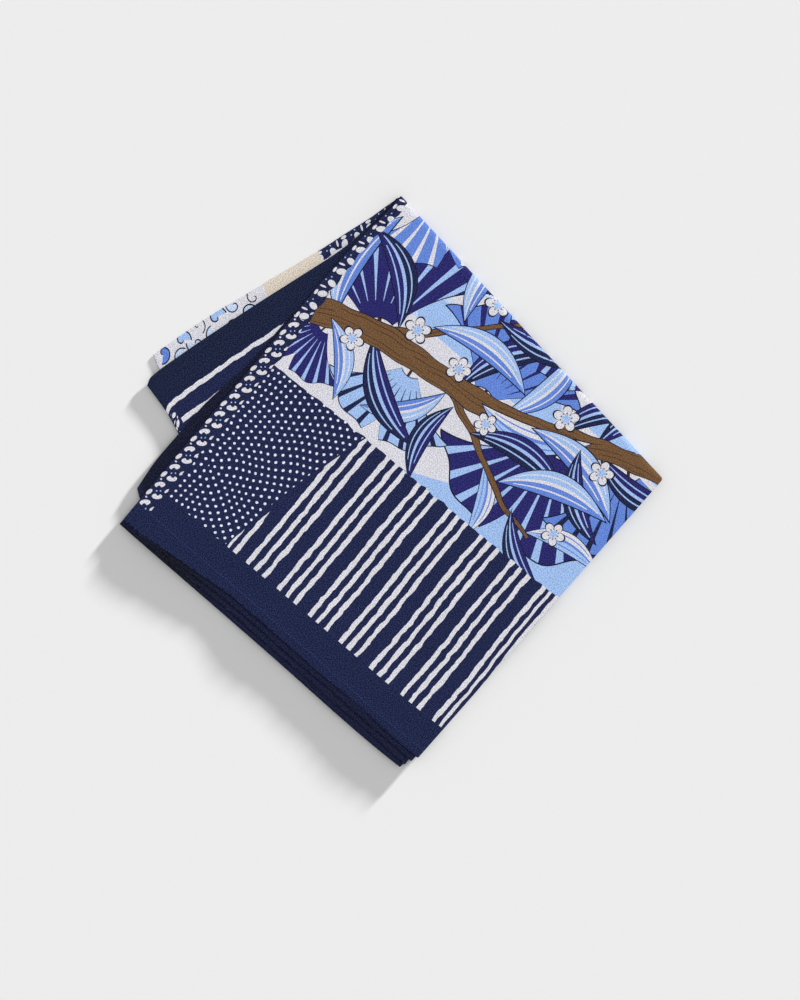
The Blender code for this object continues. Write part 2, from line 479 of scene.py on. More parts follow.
class Term:
    """A value in a material's node tree, which arithmetic turns into Math nodes."""

    def __init__(self, tree, socket):
        self.tree = tree
        self.socket = socket

    def math(self, operation, *others):
        node = self.tree.nodes.new("ShaderNodeMath")
        node.operation = operation
        for place, value in enumerate((self, *others)):
            if isinstance(value, Term):
                self.tree.links.new(value.socket, node.inputs[place])
            else:
                node.inputs[place].default_value = value
        return Term(self.tree, node.outputs[0])

    def __add__(self, other):
        return self.math("ADD", other)

    def __sub__(self, other):
        return self.math("SUBTRACT", other)

    def __mul__(self, other):
        return self.math("MULTIPLY", other)

    def __truediv__(self, other):
        return self.math("DIVIDE", other)

    def times_plus(self, factor, more):
        """The value times a factor, plus more."""
        return self.math("MULTIPLY_ADD", factor, more)

    def below(self, other):
        return self.math("LESS_THAN", other)

    def above(self, other):
        return self.math("GREATER_THAN", other)

    def between(self, low, high):
        return self.above(low) * self.below(high)

    def size(self):
        """The value without its sign."""
        return self.math("ABSOLUTE")

    def apart(self, other):
        """How far two values lie apart."""
        return (self - other).size()

    def either(self, other):
        """The larger of two values, or 1 where either mask is 1."""
        return self.math("MAXIMUM", other)

    def both(self, other):
        """The smaller of two values."""
        return self.math("MINIMUM", other)

    def opposite(self):
        """1 less the value."""
        return self.times_plus(-1.0, 1.0)


def feed(socket, value):
    """Gives a node's input a value: a number, a colour, a Term or another node's output."""
    if isinstance(value, Term):
        value = value.socket
    if isinstance(value, (float, tuple)):
        socket.default_value = value
    else:
        socket.id_data.links.new(value, socket)


def length_of(x, y):
    """The length of the line from 0 to a place."""
    joined = x.tree.nodes.new("ShaderNodeCombineXYZ")
    feed(joined.inputs["X"], x)
    feed(joined.inputs["Y"], y)
    node = x.tree.nodes.new("ShaderNodeVectorMath")
    node.operation = "LENGTH"
    feed(node.inputs[0], joined.outputs[0])
    return Term(x.tree, node.outputs["Value"])


def flat_place(tree):
    """The output that gives each point's place on the flat cloth."""
    node = tree.nodes.new("ShaderNodeUVMap")
    node.uv_map = "cloth"
    return node.outputs["UV"]


def noise(tree, scale, detail=0.0, stretch=(1.0, 1.0)):
    """Smooth noise from 0 to 1 over the flat cloth, with so many lumps a metre."""
    spread = tree.nodes.new("ShaderNodeMapping")
    spread.vector_type = "TEXTURE"
    feed(spread.inputs["Scale"], (*stretch, 1.0))
    feed(spread.inputs["Vector"], flat_place(tree))
    node = tree.nodes.new("ShaderNodeTexNoise")
    node.noise_dimensions = "2D"
    feed(node.inputs["Scale"], scale)
    feed(node.inputs["Detail"], detail)
    feed(node.inputs["Vector"], spread.outputs[0])
    return Term(tree, node.outputs["Fac"])


def swing(tree, scale, reach, detail=0.0, stretch=(1.0, 1.0)):
    """Smooth noise about 0 that mostly stays within the reach."""
    return noise(tree, scale, detail, stretch).times_plus(2.0 * reach, -reach)


# The Mix node's sockets for a factor and two colours, and for the mixed colour
MIX_INPUTS = (0, 6, 7)
MIX_RESULT = 2


def painted(base, mask, colour):
    """The base colour with another over it where the mask is 1."""
    node = mask.tree.nodes.new("ShaderNodeMix")
    node.data_type = "RGBA"
    for place, value in zip(MIX_INPUTS, (mask, base, colour)):
        feed(node.inputs[place], value)
    return node.outputs[MIX_RESULT]


def seen_from(x, y, across, along, heading, size):
    """x and y as seen from a motif laid at a place, turned by a heading and scaled to a size."""
    turn = heading * (math.pi / 180.0)
    cosine, sine = turn.math("COSINE"), turn.math("SINE")
    x, y = x - across, y - along
    return (x * cosine + y * sine) / size, (y * cosine - x * sine) / size


def motif(name, numbers, colours, draw):
    """A node group that draws a motif over a base colour, so that each copy of it is one node."""
    tree = bpy.data.node_groups.new(name, "ShaderNodeTree")
    kinds = [("base", "NodeSocketColor")]
    kinds += [(number, "NodeSocketFloat") for number in ("x", "y", *numbers)]
    kinds += [(colour, "NodeSocketColor") for colour in colours]
    for label, kind in kinds:
        tree.interface.new_socket(label, in_out="INPUT", socket_type=kind)
    tree.interface.new_socket("result", in_out="OUTPUT", socket_type="NodeSocketColor")
    start = tree.nodes.new("NodeGroupInput")
    end = tree.nodes.new("NodeGroupOutput")
    base, *inputs = start.outputs[: len(kinds)]
    terms = [Term(tree, socket) for socket in inputs[: 2 + len(numbers)]]
    feed(end.inputs[0], draw(base, *terms, *inputs[2 + len(numbers) :]))
    return tree


def laid(base, x, y, group, rows):
    """Copies of a motif over the base colour, one for each row of its numbers and colours."""
    for row in rows:
        node = x.tree.nodes.new("ShaderNodeGroup")
        node.node_tree = group
        for socket, value in zip(node.inputs, (base, x, y, *row)):
            feed(socket, value)
        base = node.outputs[0]
    return base


def draw_oval(base, x, y, across, along, heading, half_length, half_width, colour):
    """An oval."""
    x, y = seen_from(x, y, across, along, heading, 1.0)
    x, y = x / half_length, y / half_width
    return painted(base, (x * x + y * y).below(1.0), colour)


# A long leaf's parts, as shares of its length or of its half width
OUTLINE_WIDTH = 0.010
RIB_SHARE = 0.12
RIB_END = 0.90
STREAK_SHARES = (0.46, 0.57)
STREAK_ENDS = (0.14, 0.80)


def draw_long_leaf(base, x, y, across, along, length, heading, width, bend, upper, lower, line):
    """A pointed leaf with two tones, a midrib, streaks and an outline."""
    x, y = seen_from(x, y, across, along, heading, length)
    bulge = x * x.opposite() * 4.0  # 0 at both ends and 1 in the middle
    off = y - bulge * bend
    reach = bulge * width
    base = painted(base, off.size().below(reach), INK)
    inner = off.size().below(reach - OUTLINE_WIDTH)
    base = painted(base, inner, lower)
    base = painted(base, inner * off.above(0.0), upper)
    rib = off.size().below(reach * RIB_SHARE) * x.below(RIB_END)
    streaks = (off / reach).size().between(*STREAK_SHARES) * x.between(*STREAK_ENDS)
    return painted(base, rib.either(streaks) * inner, line)


# A fan-shaped leaf's parts, as shares of its length, with angles in radians
STALK_HALF_WIDTH = 0.016
STALK_END = 0.22
FAN_START = 0.16
FAN_INNER_START = 0.17
FAN_SPREAD = 0.72
FAN_INNER_SPREAD = 0.705
FAN_FLARE = 0.28
FAN_OUTLINE = 0.012
MARGIN_REACH = 0.95
MARGIN_WAVES = 13.0
MARGIN_WAVE_DEPTH = 0.025
NOTCH_DEPTH = 0.30
NOTCH_SLOPE = 2.4
RAYS = 31.0
RAY_WIDENING = 0.7
RAY_LEVEL = 1.18
RAY_START = 0.30


def draw_fan_leaf(base, x, y, across, along, length, heading, colour, line):
    """A fan-shaped leaf with rays, a notched margin and a stalk."""
    x, y = seen_from(x, y, across, along, heading, length)
    stalk = y.size().below(STALK_HALF_WIDTH) * x.between(0.0, STALK_END)
    base = painted(base, stalk, DARK_BROWN)
    radius = length_of(x, y)
    angle = y.math("ARCTAN2", x)
    notch = angle.size().times_plus(-NOTCH_SLOPE, NOTCH_DEPTH).either(0.0)
    waves = (angle * MARGIN_WAVES).math("COSINE")
    margin = waves.times_plus(MARGIN_WAVE_DEPTH, MARGIN_REACH) - notch
    side = angle.size() - radius * radius * FAN_FLARE
    whole = radius.above(FAN_START) * radius.below(margin) * side.below(FAN_SPREAD)
    base = painted(base, whole, INK)
    inner = radius.above(FAN_INNER_START) * radius.below(margin - FAN_OUTLINE)
    inner = inner * side.below(FAN_INNER_SPREAD)
    base = painted(base, inner, colour)
    rays = ((angle * RAYS).math("COSINE") + radius * RAY_WIDENING).above(RAY_LEVEL)
    rays = rays * radius.above(RAY_START)
    return painted(base, rays * inner, line)


# A blossom's parts, as shares of its radius
PETALS = 5.0
PETAL_FULLNESS = 0.55
PETAL_LENGTH = 0.66
PETAL_ROOT = 0.34
PETAL_OUTLINE = 1.09
PETAL_WHITE = 0.96
BLOSSOM_HEART = 0.40
STAMEN_LEVEL = 0.80
STAMEN_ENDS = (0.36, 0.47)


def draw_blossom(base, x, y, across, along, radius, heading):
    """A blossom of five round petals with a ring of stamens."""
    x, y = seen_from(x, y, across, along, heading, radius)
    reach = length_of(x, y)
    angle = y.math("ARCTAN2", x)
    petal = (angle * (0.5 * PETALS)).math("COSINE").size().math("POWER", PETAL_FULLNESS)
    petal = petal.times_plus(PETAL_LENGTH, PETAL_ROOT)
    base = painted(base, reach.below(petal * PETAL_OUTLINE), INK)
    base = painted(base, reach.below(petal * PETAL_WHITE), WHITE)
    base = painted(base, reach.below(petal * BLOSSOM_HEART), LIGHT_BLUE)
    stamens = (angle * PETALS).math("COSINE").size().above(STAMEN_LEVEL)
    return painted(base, stamens * reach.between(*STAMEN_ENDS), BROWN)


def draw_mist(base, x, y, across, along, half_length, half_depth, colour):
    """A long round-ended band."""
    past_end = ((x - across).size() - half_length + half_depth).either(0.0)
    off = y - along
    return painted(base, (past_end * past_end + off * off).below(half_depth * half_depth), colour)


# A branch's lumps, as (lumps a metre, reach), its outline, and the lines of its bark
BRANCH_LUMPS = (60.0, 0.0017)
BRANCH_OUTLINE = 0.0006
BARK_INSET = 0.0016
BARK_RATE = 2100.0
BARK_WAVES = ((95.0, 2.2), (37.0, 3.0))
BARK_LEVEL = 0.90
BREAK_RATES = (61.0, 700.0)
BREAK_LEVEL = -0.35


def draw_branch(base, x, y, across, along, length, heading, half_width, taper, sag, wave):
    """A brown branch with dark bark lines."""
    x, y = seen_from(x, y, across, along, heading, 1.0)
    off = y - (x * wave).math("SINE") * sag + swing(x.tree, *BRANCH_LUMPS)
    half = (x * taper + half_width) * x.above(0.0) * x.below(length)
    base = painted(base, off.size().below(half), INK)
    base = painted(base, off.size().below(half - BRANCH_OUTLINE), BROWN)
    grain = off * BARK_RATE
    for rate, height in BARK_WAVES:
        grain = grain + (x * rate).math("SINE") * height
    lines = grain.math("SINE").above(BARK_LEVEL)
    breaks = (x * BREAK_RATES[0] + off * BREAK_RATES[1]).math("SINE").above(BREAK_LEVEL)
    bark = lines * breaks
    return painted(base, bark * off.size().below(half - BARK_INSET), DARK_BROWN)


# A curled outline's start, growth a radian and half width, as shares of the cloud's radius
CURL_START = 0.56
CURL_GROWTH = 0.17
CURL_LINE = 0.075


def draw_curl(base, x, y, across, along, radius, heading, colour):
    """A round cloud with a curled outline."""
    x, y = seen_from(x, y, across, along, heading, radius)
    reach = length_of(x, y)
    spiral = y.math("ARCTAN2", x).times_plus(CURL_GROWTH, CURL_START)
    base = painted(base, reach.below(spiral), colour)
    return painted(base, reach.apart(spiral).below(CURL_LINE), INK)


# The picture's place: its cell on the flat cloth, which is mirrored beyond its sides
PICTURE_START = 0.1500
PICTURE_RISE = 0.0210
CELL_WIDTH = 0.2600
CELL_HEIGHT = 0.1750

# The light blue field below: its edge's (slope, start) and its wave's (rate, height)
FIELD_EDGE = (0.30, -0.030)
FIELD_WAVE = (42.0, 0.004)

# The long leaves' colours, as (one half, the other half, rib and streaks)
DEEP = (VIOLET_NAVY, NAVY, LIGHT_BLUE)
BRIGHT = (LIGHT_BLUE, MID_BLUE, WHITE)
PALE = (WHITE, LIGHT_BLUE, MID_BLUE)

# Long leaves, as (across, along of the stalk end, length, heading, width share, bend, colours)
BACK_LEAVES = (
    (0.022, 0.052, 0.084, 98.0, 0.125, 0.14, *BRIGHT),
    (0.060, 0.072, 0.074, 142.0, 0.120, -0.15, *DEEP),
    (0.090, 0.104, 0.066, 96.0, 0.120, 0.13, *BRIGHT),
    (0.116, 0.068, 0.080, 58.0, 0.120, 0.15, *DEEP),
    (0.150, 0.074, 0.070, 84.0, 0.120, -0.14, *BRIGHT),
    (0.186, 0.086, 0.070, 52.0, 0.120, 0.15, *DEEP),
    (0.112, 0.061, 0.060, -132.0, 0.125, 0.15, *BRIGHT),
    (0.050, 0.060, 0.080, -31.0, 0.120, -0.14, *DEEP),
    (0.160, 0.044, 0.052, -64.0, 0.125, 0.14, *PALE),
    (0.216, 0.097, 0.074, 6.0, 0.120, -0.14, *DEEP),
    (0.072, 0.160, 0.078, -14.0, 0.120, 0.15, *DEEP),
    (0.190, 0.172, 0.080, -150.0, 0.120, 0.14, *BRIGHT),
    (0.244, 0.160, 0.070, -118.0, 0.120, -0.14, *DEEP),
)
FRONT_LEAVES = (
    (0.020, 0.050, 0.056, -50.0, 0.125, 0.15, *BRIGHT),
    (0.076, 0.088, 0.078, 4.0, 0.115, 0.15, *BRIGHT),
    (0.105, 0.121, 0.080, 24.0, 0.120, -0.14, *DEEP),
    (0.134, 0.071, 0.080, 21.0, 0.115, -0.15, *PALE),
    (0.170, 0.080, 0.084, -10.0, 0.115, 0.14, *BRIGHT),
    (0.205, 0.091, 0.066, -40.0, 0.120, -0.15, *DEEP),
    (0.122, 0.057, 0.058, -82.0, 0.125, -0.15, *DEEP),
    (0.141, 0.050, 0.078, 6.0, 0.115, 0.14, *DEEP),
    (0.176, 0.037, 0.080, 20.0, 0.120, 0.15, *BRIGHT),
    (0.196, 0.030, 0.060, -30.0, 0.120, -0.14, *DEEP),
    (0.212, 0.024, 0.058, 10.0, 0.120, 0.15, *PALE),
)

# Fan-shaped leaves, as (across, along of the stalk end, length, heading, colour, veins' colour)
FAN_LEAVES = (
    (0.052, 0.058, 0.086, 118.0, VIOLET_NAVY, LIGHT_BLUE),
    (0.132, 0.068, 0.072, 92.0, MID_BLUE, VIOLET_NAVY),
    (0.194, 0.090, 0.088, -88.0, VIOLET_NAVY, LIGHT_BLUE),
    (0.084, 0.062, 0.060, -84.0, LIGHT_BLUE, NAVY),
    (0.236, 0.104, 0.070, -52.0, MID_BLUE, NAVY),
    (0.022, 0.046, 0.044, -100.0, VIOLET_NAVY, LIGHT_BLUE),
    (0.150, 0.168, 0.060, -100.0, VIOLET_NAVY, LIGHT_BLUE),
    (0.020, 0.168, 0.060, -50.0, MID_BLUE, WHITE),
)

# Blossoms, as (across, along, radius, heading)
BLOSSOMS = (
    (0.040, 0.048, 0.0082, 10.0),
    (0.070, 0.080, 0.0090, 40.0),
    (0.108, 0.078, 0.0085, 25.0),
    (0.146, 0.062, 0.0078, 5.0),
    (0.184, 0.100, 0.0090, 50.0),
    (0.226, 0.088, 0.0084, 30.0),
    (0.098, 0.128, 0.0088, 60.0),
    (0.228, 0.036, 0.0080, 15.0),
)

# Bands of mist on the ground, as (across, along of the middle, half length, half depth, colour)
MISTS = (
    (0.030, 0.098, 0.060, 0.012, PALE_BLUE),
    (0.120, 0.096, 0.060, 0.011, LIGHT_BLUE),
    (0.100, 0.136, 0.070, 0.010, PALE_BLUE),
    (0.205, 0.062, 0.060, 0.009, PALE_BLUE),
    (0.240, 0.118, 0.050, 0.013, LIGHT_BLUE),
    (0.160, 0.160, 0.070, 0.011, LIGHT_BLUE),
)

# Twigs and bough, as (across, along of the start, length, heading, half width, taper, sag, wave)
BRANCHES = (
    (0.048, 0.060, 0.100, 43.0, 0.0032, -0.016, -0.0030, 40.0),
    (0.092, 0.068, 0.132, -20.0, 0.0034, -0.014, 0.0030, 45.0),
    (-0.010, 0.040, 0.290, 14.0, 0.0096, -0.012, 0.0055, 30.0),
)

# By the left side, where the clouds begin along it and how deep they and the cream strip are
CLOUD_FROM = 0.411
CREAM_DEPTH = 0.060

# Curled clouds, as (across, along of the middle, radius, turn, colour within)
CURLS = (
    (0.004, 0.420, 0.0058, 40.0, GROUND),
    (0.011, 0.428, 0.0070, 150.0, PALE_BLUE),
    (0.002, 0.435, 0.0056, -30.0, PALE_BLUE),
    (0.013, 0.442, 0.0066, 200.0, LIGHT_BLUE),
    (0.003, 0.449, 0.0068, 95.0, LIGHT_BLUE),
    (0.012, 0.456, 0.0058, 10.0, PALE_BLUE),
    (0.001, 0.463, 0.0054, 170.0, GROUND),
    (0.010, 0.469, 0.0068, -60.0, PALE_BLUE),
    (0.003, 0.477, 0.0062, 120.0, LIGHT_BLUE),
    (0.012, 0.483, 0.0058, 60.0, PALE_BLUE),
    (0.003, 0.493, 0.0060, 215.0, MID_BLUE),
)


def picture(across, along):
    """The print's large field, mirrored beyond its cell, and the clouds by the left side."""
    x = across.math("PINGPONG", CELL_WIDTH)
    y = (along - PICTURE_START).math("PINGPONG", CELL_HEIGHT)
    place = ("across", "along")
    leaf = motif(
        "long_leaf",
        (*place, "length", "heading", "width", "bend"),
        ("upper", "lower", "line"),
        draw_long_leaf,
    )
    fan = motif("fan_leaf", (*place, "length", "heading"), ("colour", "line"), draw_fan_leaf)
    flower = motif("blossom", (*place, "radius", "heading"), (), draw_blossom)
    band = motif("mist", (*place, "half_length", "half_depth"), ("colour",), draw_mist)
    bough = motif(
        "branch",
        (*place, "length", "heading", "half_width", "taper", "sag", "wave"),
        (),
        draw_branch,
    )
    curl = motif("curl", (*place, "radius", "heading"), ("colour",), draw_curl)
    edge = x.times_plus(*FIELD_EDGE) + (x * FIELD_WAVE[0]).math("SINE") * FIELD_WAVE[1]
    base = painted(GROUND, y.below(edge), LIGHT_BLUE)
    base = laid(base, x, y, band, MISTS)
    base = laid(base, x, y, fan, FAN_LEAVES)
    base = laid(base, x, y, leaf, BACK_LEAVES)
    base = laid(base, x, y, bough, BRANCHES)
    base = laid(base, x, y, leaf, FRONT_LEAVES)
    base = laid(base, x, y, flower, BLOSSOMS)
    beside = across.below(CREAM_DEPTH) * along.above(STRIP_END)
    base = painted(base, beside, CREAM)
    base = painted(base, beside * along.above(CLOUD_FROM), GROUND)
    return laid(base, across, along, curl, CURLS)


# The dots, on rings round one place, and their unevenness, as (lumps a metre, reach)
RING_CENTRE = (0.0205, 0.0699)
RING_GAP = 0.0046
DOTS_IN_A_RING = 5.8
DOT_RADIUS = 0.00092
DOT_WARP = (45.0, 0.28)

# The curved side where the dots meet the stripes, as (bend, slope, start), and the bare gap there
DOTS_SIDE = (0.78, 0.0724, 0.0596)
DOTS_CLEARANCE = 0.0012

# The stripes, in groups of three
GROUP_START = 0.0828
GROUP_GAP = 0.0272
STRIPE_GAP = 0.0072
STRIPE_HALF_WIDTH = 0.00152
STRIPES_IN_A_GROUP = 3
STRIPES_START = 0.0765

# Their unevenness, as (lumps a metre, reach, detail, stretch), and their pinch by the side fold
STRIPE_WOBBLE = (122.0, 0.00125, 2.0, (0.62, 1.0))
PINCH_FROM = 0.2478
PINCH_REACH = 0.0080
PINCH_SHARE = 0.45

# The short pointed stripes by the dots, as (across, half width, end), and the lines' wobble
SHORT_STRIPES = ((0.0664, 0.0008, 0.0530), (0.0717, 0.0014, 0.0730))
SHORT_STRIPE_POINT = 0.14
LINE_WOBBLE = (110.0, 0.0012, 2.0)

# The uneven edge between the borders and the picture, as (lumps a metre, reach)
PICTURE_WOBBLE = (130.0, 0.0011)

# The front hem's plain band, deeper to the right, and its foot beside the left strip
BAND_DEPTH = 0.0354
BAND_SLOPE = 0.0130
BAND_DEPTH_LEFT = 0.0188

# The left side's grain strip: its width and scalloped edge, how it narrows, and where it ends
GRAIN_WIDTH = 0.0114
SCALLOP_DEPTH = 0.0006
STRIP_NARROWS_FROM = 0.170
STRIP_NARROWING_LENGTH = 0.085
STRIP_NARROWING = 0.055
STRIP_END = 0.367

# Painted shade: the hems' darker margins, with a still darker wedge in the front one
SHADE_MARGIN = 0.0135
SHADE_MARGIN_RIGHT = 0.0120
SHADE_MARGIN_END = 0.280
SHADE_WEDGE_MIDDLE = 0.040
SHADE_WEDGE_REACH = 0.056

# The stitches along the ridge, with the level of their wave above which they show
STITCH_LENGTH = 0.0021
STITCH_HALF_WIDTH = 0.00033
STITCH_SHARE = 0.30
STITCH_WOBBLE = (60.0, 0.0005)
STITCH_LEVEL = -0.3

# The right side's plain band and the stripes beside it, as insets
RIGHT_BAND = 0.0200
RIGHT_STRIPES = (0.0222, 0.0352, 0.0430)


def ringed_dots(across, along):
    """1 on small dots that lie on rings round one place."""
    warp = swing(across.tree, *DOT_WARP)
    x, y = (across - RING_CENTRE[0]) / RING_GAP, (along - RING_CENTRE[1]) / RING_GAP
    radius = length_of(x, y) + warp
    ring = radius.math("ROUND")
    count = (ring * DOTS_IN_A_RING).math("ROUND").either(1.0)
    turn = y.math("ARCTAN2", x) * (0.5 / math.pi) * count + ring * 0.5 + warp
    off_round = (turn - turn.math("ROUND")) * (2.0 * math.pi) * radius / count
    return length_of(off_round, radius - ring).below(DOT_RADIUS / RING_GAP)


def trio_stripes(across):
    """1 on uneven stripes in groups of three."""
    wobble = swing(across.tree, *STRIPE_WOBBLE)
    pinch = (across - PINCH_FROM).either(0.0).both(PINCH_REACH)
    place = across + wobble + pinch * PINCH_SHARE - (GROUP_START - 0.5 * STRIPE_GAP)
    place = place.math("FLOORED_MODULO", GROUP_GAP)
    off = place.math("FLOORED_MODULO", STRIPE_GAP) - 0.5 * STRIPE_GAP
    return off.size().below(STRIPE_HALF_WIDTH) * place.below(STRIPES_IN_A_GROUP * STRIPE_GAP)


# A speck's heading, half sizes and colour
SPECK = (0.0, 0.0005, 0.0005, LIGHT_BLUE)

# The strips' grains, as (inset, place along the edge, heading, half length, half width, colour)
LOWER_REPEAT = 0.0158
LOWER_START = 0.0032
LOWER_GRAINS = (
    (0.0040, 0.0037, 46.0, 0.0036, 0.0019, WHITE),
    (0.0075, -0.0037, 38.0, 0.0035, 0.0019, WHITE),
    (0.0058, 0.0000, 119.0, 0.0035, 0.0019, NAVY),
    (0.0074, 0.0016, 119.0, 0.0012, 0.0008, NAVY),
    (0.0044, -0.0016, 119.0, 0.0012, 0.0008, NAVY),
    (0.0015, -0.0047, 76.0, 0.0026, 0.0013, WHITE),
    (0.0104, 0.0034, 72.0, 0.0020, 0.0009, WHITE),
    (0.0022, 0.0072, 0.0, 0.0007, 0.0006, WHITE),
    (0.0050, -0.0010, *SPECK),
    (0.0070, 0.0007, *SPECK),
)
UPPER_REPEAT = 0.0198
UPPER_START = 0.0162
UPPER_GRAINS = (
    (0.0060, 0.0047, -12.0, 0.0030, 0.0021, WHITE),
    (0.0056, -0.0047, 35.0, 0.0032, 0.0022, WHITE),
    (0.0026, -0.0002, 12.0, 0.0022, 0.0007, WHITE),
    (0.0014, -0.0060, 94.0, 0.0020, 0.0010, WHITE),
    (0.0086, -0.0002, 62.0, 0.0014, 0.0006, WHITE),
    (0.0012, 0.0048, *SPECK),
    (0.0030, 0.0084, *SPECK),
)
UPPER_FROM = 0.187

# The strip along the back hem, with smaller grains
TOP_STRIP_SCALE = 0.62
TOP_STRIP_WIDTH = 0.0072


def grain_strip(inset, along):
    """A navy strip of split grains and specks, and of round grains further along."""
    numbers = ("across", "along", "heading", "half_length", "half_width")
    grain = motif("grain", numbers, ("colour",), draw_oval)
    lower = (along - (LOWER_START - 0.5 * LOWER_REPEAT)).math("FLOORED_MODULO", LOWER_REPEAT)
    upper = (along - (UPPER_START - 0.5 * UPPER_REPEAT)).math("FLOORED_MODULO", UPPER_REPEAT)
    split = laid(NAVY, inset, lower - 0.5 * LOWER_REPEAT, grain, LOWER_GRAINS)
    plump = laid(NAVY, inset, upper - 0.5 * UPPER_REPEAT, grain, UPPER_GRAINS)
    return painted(split, along.above(UPPER_FROM), plump)


def borders(base, across, along):
    """The print's borders, over the picture: dots, stripes, hem bands and the two grain strips; then
    painted shade on the hems.
    """
    tree = across.tree
    inset = across.times_plus(-1.0, CLOTH_WIDTH)
    top_inset = along.times_plus(-1.0, CLOTH_HEIGHT)
    uneven = along + swing(tree, *PICTURE_WOBBLE)
    lower = uneven.below(across.times_plus(PICTURE_RISE, PICTURE_START))
    base = painted(base, lower, NAVY)
    bend, slope, start = DOTS_SIDE
    side = along.times_plus(bend, slope).times_plus(along, start)
    base = painted(base, ringed_dots(across, along) * across.below(side) * lower, DOT_WHITE)
    stripes = trio_stripes(across)
    stripes = stripes * (across - DOTS_CLEARANCE).above(side.either(STRIPES_START)) * lower
    wobble = swing(tree, *LINE_WOBBLE)
    for place, half_width, end in SHORT_STRIPES:
        point = along.times_plus(-SHORT_STRIPE_POINT, end * SHORT_STRIPE_POINT).both(half_width)
        stripes = stripes.either((across + wobble).apart(place).below(point))
    base = painted(base, stripes, WHITE)
    base = painted(base, (along - across * BAND_SLOPE).below(BAND_DEPTH), HEM_NAVY)
    stitches = (along + swing(tree, *STITCH_WOBBLE)).apart(RIDGE_Y).below(STITCH_HALF_WIDTH)
    thread = (across * (2.0 * math.pi / STITCH_LENGTH)).math("SINE")
    stitches = stitches * thread.above(STITCH_LEVEL)
    base = painted(base, stitches * STITCH_SHARE, STITCH_BLUE)
    base = painted(base, inset.below(RIGHT_STRIPES[-1] + STRIPE_GAP), NAVY)
    for stripe in RIGHT_STRIPES:
        line = (inset + wobble).apart(stripe).below(STRIPE_HALF_WIDTH)
        base = painted(base, line * along.above(BAND_DEPTH), WHITE)
    base = painted(base, inset.below(RIGHT_BAND), RIGHT_NAVY)
    in_top = inset.above(RIGHT_STRIPES[0] + STRIPE_HALF_WIDTH) * across.above(CREAM_DEPTH)
    in_top = in_top * top_inset.below(TOP_STRIP_WIDTH)
    narrowing = (along - STRIP_NARROWS_FROM).either(0.0).both(STRIP_NARROWING_LENGTH)
    scallop = (along * (2.0 * math.pi / LOWER_REPEAT)).math("COSINE") * SCALLOP_DEPTH
    width = narrowing.times_plus(-STRIP_NARROWING, GRAIN_WIDTH) + scallop
    in_left = across.below(width) * along.between(BAND_DEPTH_LEFT, STRIP_END)
    strip_inset = in_top * (top_inset / TOP_STRIP_SCALE) + in_top.opposite() * across
    strip_along = in_top * (across / TOP_STRIP_SCALE) + in_top.opposite() * along
    base = painted(base, in_top.either(in_left), grain_strip(strip_inset, strip_along))
    share = across.both(inset).times_plus(HEM_GROWTH, HEM_AT_LEFT).either(HEM_LEAST).both(1.0)
    # Painted shade on the right hem, where the top layer's edge shades it
    base = painted(base, inset.below(SHADE_MARGIN_RIGHT) * along.below(SHADE_MARGIN_END), RIGHT_SHADE_NAVY)
    # Painted shade on the front hem, where its fallen steps face away from the light
    margin = along.below(share * SHADE_MARGIN)
    base = painted(base, margin, EDGE_SHADE_NAVY)
    # Painted shade, darkest in a wedge along the front hem
    shade_wedge = across.apart(SHADE_WEDGE_MIDDLE).times_plus(-1.0 / SHADE_WEDGE_REACH, 1.0).either(0.0)
    return painted(base, margin * shade_wedge, WEDGE_SHADE_NAVY)


# The cotton's gloss and sheen
ROUGHNESS = 0.86
SPECULAR = 0.12
SHEEN = 0.03
SHEEN_ROUGHNESS = 0.55

# Threads a metre, the print's sand-like grain, the yarn's slubs, and how strongly each shows
THREADS = 1900.0
SAND_SCALE = 1500.0
SAND_SHARE = 1.45
SAND_ADDED = 0.095
SLUB_SCALE = 210.0
SLUB_STRETCH = (0.35, 3.0)
SLUB_SHARE = 0.22
WEAVE_DEPTH = 0.00010
WEAVE_STRENGTH = 0.8
THREAD_HEIGHT = 0.25
GRAIN_HEIGHT = 0.35
WRONG_SIDE_PALER = 0.003


def sanded(colour, sand, slubs):
    """The colour with sand-like grain, strongest on dark places, and with the yarn's slubs."""
    share = sand.times_plus(SAND_SHARE, 1.0 - 0.5 * SAND_SHARE)
    share = share * slubs.times_plus(SLUB_SHARE, 1.0 - 0.5 * SLUB_SHARE)
    node = sand.tree.nodes.new("ShaderNodeVectorMath")
    node.operation = "MULTIPLY_ADD"
    feed(node.inputs[0], colour)
    feed(node.inputs[1], share)
    feed(node.inputs[2], sand.times_plus(SAND_ADDED, -0.5 * SAND_ADDED))
    return node.outputs["Vector"]


